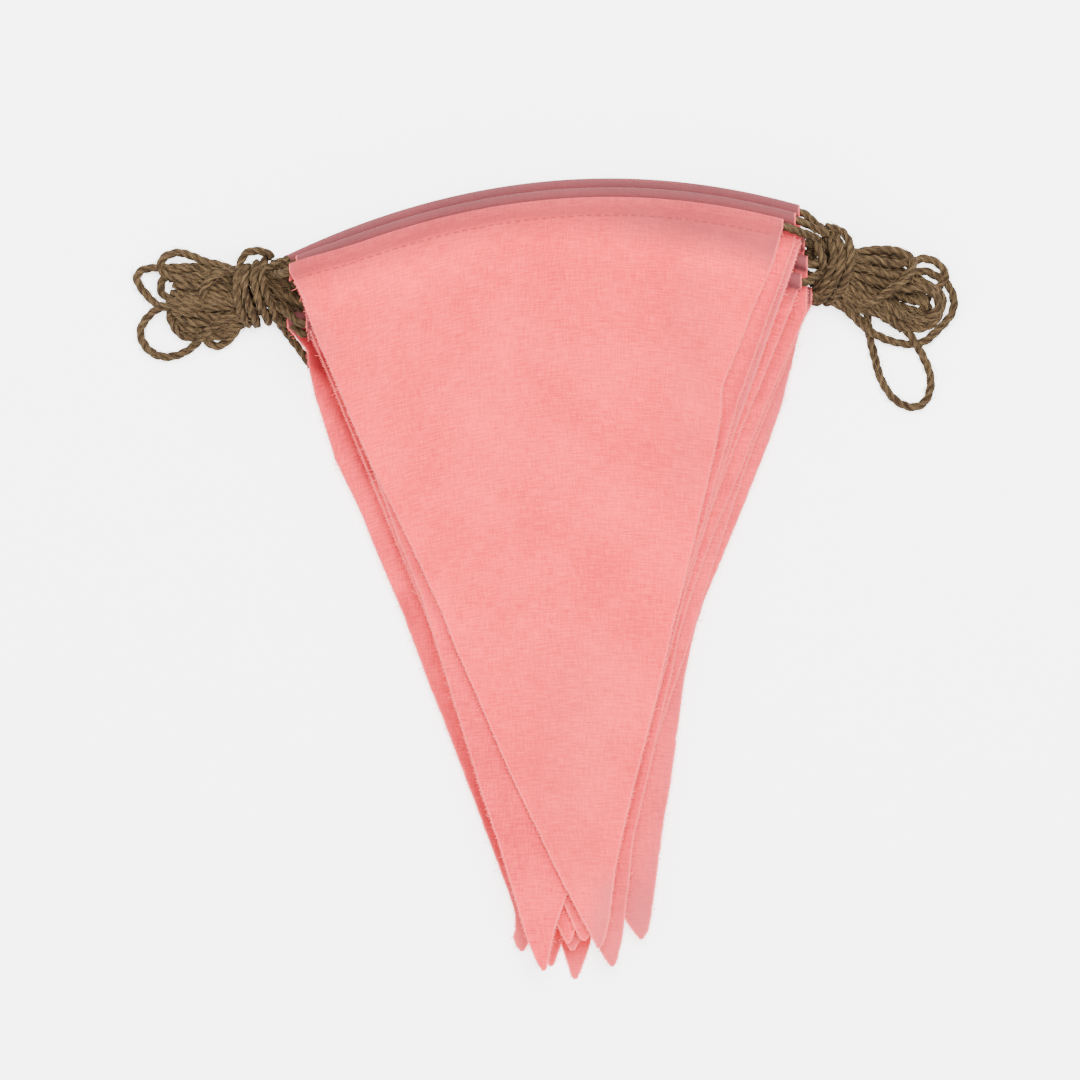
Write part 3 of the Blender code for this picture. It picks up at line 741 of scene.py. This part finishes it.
def loose_fibres(name, routes, per_mm):
    """Fine hairs that stand off the twine."""
    hairs = []
    for route in routes:
        for index in range(1, len(route) - 1):
            if chance.random() > per_mm * STRAND_STEP:
                continue
            middle = np.array(route[index])
            along = np.array(route[index + 1]) - np.array(route[index - 1])
            along = along / (np.linalg.norm(along) + 1e-9)
            out = np.array([chance.gauss(0, 1), chance.gauss(0, 1), chance.gauss(0.2, 0.7)])
            out = out - along * (out @ along)
            out = out / (np.linalg.norm(out) + 1e-9)
            length = chance.uniform(*HAIR_LENGTHS)
            lean = along * chance.choice((-1, 1))
            root = middle + out * TWINE_RADIUS * 0.8
            points = [root + out * length * share * 0.45 + lean * length * share ** 1.6
                      for share in (0, 0.4, 0.75, 1)]
            if min(p[2] for p in points) > HAIR_CLEARANCE:
                hairs.append([tuple(p) for p in points])
    piece = thin_tubes(name, hairs, HAIR_RADIUS, hair.material)
    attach(piece, "root")
    return piece


# The hanks: the twine gathered in loops beside each upper corner and bound with
# its own last turns. Routes are pixels of the photograph, with heights in millimetres.
def over(points):
    """Pixels and heights to millimetres in the object's frame."""
    return [(*heap_mm(px, py), z) for px, py, z in points]


# Strands of the left hank that show and that fill it, those that fan out under the
# pennants, and the turns that bind it
LEFT_STRANDS = (
    ((248, 272, 11), (234, 270, 12), (219, 265, 11), (206, 262, 10), (194, 257, 8), (181, 253, 6),
     (172, 254, 5), (164, 258, 4.5), (161, 265, 5), (164, 274, 6), (180, 279, 9), (206, 281, 11),
     (240, 282, 12)),
    ((244, 276, 10), (212, 270, 10), (191, 267, 8), (168, 268, 5), (154, 268, 3.5), (143, 270, 3),
     (137, 277, 2.6), (140, 286, 2.6), (147, 295, 3), (155, 303, 4), (165, 307, 6), (186, 309, 9),
     (212, 308, 12), (244, 306, 12)),
    ((246, 300, 13), (222, 301, 13.5), (200, 302, 13), (181, 303, 11), (168, 306, 8), (155, 311, 5),
     (145, 321, 3), (140.5, 332, 2.4), (144, 344, 2), (153, 353, 2), (166, 357, 2.2), (181, 354, 3),
     (194, 346, 5), (204, 335, 8), (219, 323, 11), (234, 315, 12), (248, 309, 11)),
    ((244, 318, 9), (222, 322, 9), (206, 330, 6), (196, 337, 3.5), (186, 337, 3), (178, 332, 3),
     (172, 322, 4), (170, 314, 5), (176, 305, 7), (196, 300, 10), (244, 296, 11)),
    ((244, 290, 11), (210, 287, 9), (186, 279, 7), (172, 276, 5), (164, 279, 4), (161, 286, 3.5),
     (163, 294, 4), (171, 299, 6), (184, 301, 9), (214, 298, 11), (244, 294, 12)),
    ((252, 318, 8), (240, 326, 6), (232, 337, 4.5), (224, 344, 3.5), (215, 346, 3), (207, 341, 4),
     (202, 332, 5), (214, 322, 7), (244, 313, 9)),
    ((248, 273, 14), (234, 273, 15), (222, 273.5, 16), (213, 278, 16.5), (207, 286, 16),
     (204, 294, 14.5), (206, 299, 12)),
    ((166, 272, 5), (190, 269, 9), (213, 271, 11), (244, 276, 12)),
    ((168, 279, 6), (190, 277, 10.5), (212, 277, 12.5), (246, 284, 13)),
    ((173, 285, 6), (192, 287, 11), (218, 288, 13), (246, 290, 13.5)),
    ((170, 293, 7), (194, 296, 11), (212, 295, 13), (246, 297, 13.5)),
    ((166, 303, 7), (188, 299.5, 12), (206, 299, 13), (246, 301, 13.5)),
    ((170, 309, 7), (194, 308, 12), (220, 304, 13.5), (248, 304, 13)),
    ((172, 312, 6), (198, 314, 10), (222, 318, 11), (250, 310, 11)),
    ((176, 318, 5), (196, 323, 8), (214, 322, 9.5), (250, 316, 10)),
    ((180, 327, 4), (198, 330, 6), (212, 331, 7), (252, 320, 8)),
    ((206, 337, 5), (222, 336, 6.5), (236, 328, 7), (256, 318, 7.5)),
    ((176, 284, 2.5), (200, 282, 3.5), (246, 284, 4)),
    ((170, 295, 2.5), (200, 292, 3), (246, 293, 3.5)),
    ((172, 305, 2.5), (204, 304, 3), (248, 304, 3.5)),
    ((180, 316, 2.5), (206, 316, 3), (250, 313, 3.5)),
    ((190, 326, 2), (214, 326, 3), (254, 319, 4.5)),
    ((176, 290, 6.5), (206, 287, 7), (248, 288, 7.5)),
    ((178, 300, 6.5), (206, 298, 7), (248, 298, 7.5)),
    ((184, 311, 6), (210, 310, 7), (250, 308, 7.5)),
)
LEFT_FAN = (
    ((256, 272, 12), (270, 268, 14), (280, 263, 17), (290, 259, 20)),
    ((258, 275, 12), (275, 272, 13), (300, 270, 16)),
    ((258, 281, 13), (278, 281, 13), (294, 283, 14), (304, 285, 15)),
    ((260, 288, 13), (279, 287.5, 13), (308, 297, 13)),
    ((262, 295, 12.5), (281, 297, 12), (300, 303, 12), (312, 308, 12)),
    ((266, 301, 11.5), (284, 305, 10.5), (316, 315, 10)),
    ((270, 307, 10), (288, 312, 8.5), (306, 318, 8), (318, 323, 8)),
    ((272, 312, 8), (290, 317, 6.5), (320, 330, 6)),
    ((262, 278, 8), (280, 277, 8), (300, 277, 9)),
    ((262, 286, 7), (282, 290, 7), (304, 293, 8)),
    ((264, 296, 7), (284, 302, 6), (308, 306, 6)),
    ((268, 304, 5), (288, 309, 4), (312, 316, 4)),
    ((250, 312, 4), (270, 313, 4), (288, 320, 4)),
    ((246, 300, 5), (272, 304, 5), (290, 311, 4)),
    ((250, 285, 5), (275, 284, 5), (292, 286, 5)),
    ((250, 272, 5), (274, 270, 6), (290, 267, 8)),
    ((172, 308, 3), (178, 322, 3), (190, 332, 3), (206, 334, 3)),
    ((168, 268, 3), (190, 275, 4), (210, 274, 5)),
)
LEFT_WRAPS = (
    ((273, 259, 9), (267, 253.5, 11), (255, 251.5, 12), (246, 254.5, 12.5), (242, 262, 14),
     (238.5, 275, 17), (237.5, 291, 18), (239, 304, 17), (242.5, 315, 13.5), (248, 324, 8),
     (249, 321, 3), (246, 300, 1.7), (248, 280, 2), (249, 268, 6)),
    ((249, 267, 8), (246.5, 270, 14), (245, 281, 17.5), (246.5, 296, 18), (251, 310, 15),
     (256, 322, 9.5), (257, 323, 4), (253, 302, 1.7), (256, 280, 2), (258, 266, 6)),
    ((258, 263, 8), (256, 267, 13), (254.5, 278, 17), (257, 294, 18), (262, 308, 15), (268, 320, 9),
     (268, 320, 4), (262, 302, 1.7), (264, 280, 2), (266, 263, 6)),
    ((266, 259, 8), (264, 264, 12), (262.5, 276, 16), (265, 291, 17.5), (271, 305, 14.5),
     (277, 319, 9), (288, 334.5, 4), (298, 347.5, 2), (307, 360, 1.7), (312, 368, 1.6)),
)
# The same for the right hank, whose leads are among its strands
RIGHT_STRANDS = (
    ((838, 256, 10), (856, 253, 13), (877, 250, 12), (897, 251.5, 11), (909, 257.5, 11),
     (912.5, 267, 13), (905, 279, 15), (889, 291, 16), (876, 300, 15.5), (862, 303.5, 14),
     (842, 298, 11)),
    ((840, 260, 13), (856, 260.5, 15), (874, 260.5, 15), (889, 264.5, 14), (902, 264, 12),
     (912, 262, 9), (923, 259, 7), (935, 262, 5.5), (943, 270, 5), (944.5, 279, 5), (936, 288, 6),
     (915, 292, 8)),
    ((838, 267, 14), (854, 268, 15.5), (874, 271, 15), (891, 275.5, 13), (908, 275, 10),
     (923, 271.5, 7), (935, 276, 5), (947.5, 285, 4), (953.5, 299, 3.4), (952, 312.5, 3),
     (944.5, 323, 3), (935, 332.5, 3), (925, 341, 2.6), (911, 344.5, 2.4), (892, 341.5, 3),
     (877, 335.5, 4), (865, 328, 5.5), (853, 317, 7), (838, 303, 8)),
    ((838, 274, 13), (853, 276, 15), (871, 280.5, 14.5), (886, 285, 12), (896, 282, 10),
     (917, 282, 9), (932, 288, 8), (941.5, 300, 7), (938.5, 315.5, 6), (931, 324.5, 5.5),
     (917, 329, 6), (900, 325, 8), (886, 314, 10), (874, 305, 11.5), (856, 297, 12),
     (840, 291, 11)),
    ((838, 279, 12), (851, 282, 14), (865, 289.5, 13), (880, 294, 12), (893, 288.5, 11),
     (908, 289, 11), (923, 288, 10), (935.5, 297, 9.5), (937, 309.5, 9), (926, 320, 8.5),
     (911, 320, 9.5), (896, 312.5, 11.5), (883, 303, 13), (862, 300, 12), (842, 296, 10)),
    ((836, 285, 11), (847, 288, 13), (862, 297, 13), (877, 300, 12), (893, 294, 9), (909, 300, 7),
     (924, 304, 6), (930, 311, 5)),
    ((832, 298, 9), (846, 305, 9.5), (862, 310, 10), (880, 315, 9), (893, 320, 8), (908, 325, 7),
     (925, 328, 6.5)),
    ((866, 306, 7), (868, 325, 4), (869.5, 337, 2.4), (874, 355, 2), (880, 377, 1.8),
     (889.5, 394, 1.7), (902, 404.5, 1.7), (915.5, 407, 1.7), (926, 400, 1.7), (930.5, 386, 1.7),
     (929, 371, 1.8), (921.5, 354, 2), (911, 337, 5), (900, 325, 6), (886, 312.5, 8), (868, 304, 9),
     (844, 300, 9)),
    ((828, 300, 7), (839, 306, 7.5), (850, 309.5, 7), (862, 322, 5.5), (868, 328, 5)),
    ((832, 296, 10), (842, 294, 11.5), (856, 305, 10.5), (874, 312.5, 9), (891, 322, 7.5),
     (903, 331, 5.5)),
    ((836, 290, 11), (846, 290, 12.5), (865, 297, 12.5), (885, 306.5, 11.5), (908, 317, 9),
     (922, 320, 7)),
    ((838, 262, 4), (870, 264, 3.5), (900, 272, 3)),
    ((838, 274, 3), (870, 277, 2.5), (910, 285, 2.2)),
    ((838, 286, 3), (870, 290, 2.4), (915, 300, 2)),
    ((838, 296, 3), (868, 303, 2.4), (905, 314, 2)),
    ((838, 268, 8), (870, 270, 8), (905, 280, 6)),
    ((838, 280, 8), (870, 284, 8), (915, 293, 5)),
    ((838, 291, 8), (866, 296, 7), (900, 306, 5)),
    ((860, 272, 9), (890, 281, 8), (915, 292, 7), (926, 302, 5.5), (920, 312, 4)),
    ((856, 288, 7), (884, 299, 6), (908, 309, 5), (930, 314, 4), (942, 306, 3.5)),
    ((848, 281, 5), (880, 292, 4), (912, 300, 3.4), (932, 297, 3)),
    ((852, 300, 4), (884, 311, 3), (920, 319, 2.4)),
    ((856, 262, 9), (884, 266, 8), (912, 276, 7), (938, 292, 5), (944, 305, 4)),
    ((858, 256, 8), (882, 256, 7), (904, 262, 6), (914, 272, 5)),
    ((826, 236, 8), (840, 244, 8), (846, 264, 7)),
    ((802, 232, 10), (822, 244, 11), (836, 262, 9)),
    ((806, 262, 8), (824, 268, 8), (840, 270, 6)),
    ((808, 283, 5), (826, 284, 6), (842, 282, 5)),
    ((806, 248, 8), (824, 256, 9), (840, 262, 7)),
    ((868, 296, 3), (888, 304, 3), (908, 310, 3)),
)
RIGHT_WRAPS = (
    ((825, 227, 10), (831.5, 228.5, 13), (842, 233, 15), (848.5, 244, 17.5), (850, 259, 19),
     (847, 276, 18), (840, 289.5, 14), (830, 301, 8), (826, 301, 3), (834, 280, 1.7),
     (838, 255, 1.7), (834, 236, 3), (828, 231, 7)),
    ((826, 231, 9), (836, 238, 15), (841, 254, 19), (838.5, 271, 19), (832, 285, 16),
     (824, 297, 10), (817, 302, 5), (815, 298, 2.4), (824, 276, 1.7), (828, 252, 1.7),
     (824, 236, 4)),
    ((822, 232, 10), (830, 243, 16), (833, 258, 19), (829, 274, 18), (822, 288, 14), (815, 299, 8),
     (811, 303, 4)),
    ((805, 234, 16), (813, 242, 17), (820.5, 256, 18), (822, 267, 17), (819, 278, 14),
     (814, 292, 9), (810, 300, 5)),
)

HANK_HAIRS = 0.9
left_hank, left_routes = laid_twine("left_hank_twine",
                                    [over(route) for route in LEFT_STRANDS + LEFT_FAN + LEFT_WRAPS])
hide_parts("hank_left")
right_hank, right_routes = laid_twine("right_hank_twine",
                                      [over(route) for route in RIGHT_STRANDS + RIGHT_WRAPS])
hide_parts("hank_right")
loose_fibres("left_hank_fibres", left_routes, HANK_HAIRS)
loose_fibres("right_hank_fibres", right_routes, HANK_HAIRS)


# The twine inside the casings, with its short leads to the hanks on both sides. The
# leads' ends lie in the hanks, in pixels of the photograph and millimetres up.
LEFT_ENDS = {1: (270, 276, 13), 2: (268, 269, 11), 3: (270, 264, 9), 4: (276, 305, 11),
             5: (273, 290, 13), 6: (271, 283, 12), 7: (278, 313, 7), 8: (276, 309, 8),
             9: (274, 297, 7), 10: (272, 287, 5)}
RIGHT_ENDS = {1: (818, 240, 17), 2: (829, 236, 15), 3: (824, 231, 11), 4: (822, 272, 15),
              5: (822, 262, 14), 6: (824, 250, 12), 7: (818, 290, 8), 8: (820, 280, 7),
              9: (824, 268, 6), 10: (826, 256, 5)}
STUB = 0.18
LEAD_STEPS = 14
LEAD_HAIRS = 1.0
runs = {}
for number, (row, rows, length, cloth_piece) in laid_pennants.items():
    line, _ = cloth_points(row, np.linspace(0, 1, 25), [0.0])
    line = line[0]
    line[:, 2] = row["twine"]
    left, right = over((LEFT_ENDS[number], RIGHT_ENDS[number]))
    start = line[0] + (line[0] - line[1]) * STUB
    end = line[-1] + (line[-1] - line[-2]) * STUB
    route = [left, (np.array(left) * 0.5 + start * 0.5)] + [start] + list(line[1:-1]) + [end]
    route += [(np.array(right) * 0.5 + end * 0.5), right]
    run, smooth = laid_twine(f"casing_twine_{number:02d}", [route])
    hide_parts(f"twine_run_{number:02d}")
    runs[number] = smooth[0]
ends = [route[:LEAD_STEPS] for route in runs.values()] + [route[-LEAD_STEPS:] for route in runs.values()]
loose_fibres("lead_fibres", ends, LEAD_HAIRS)
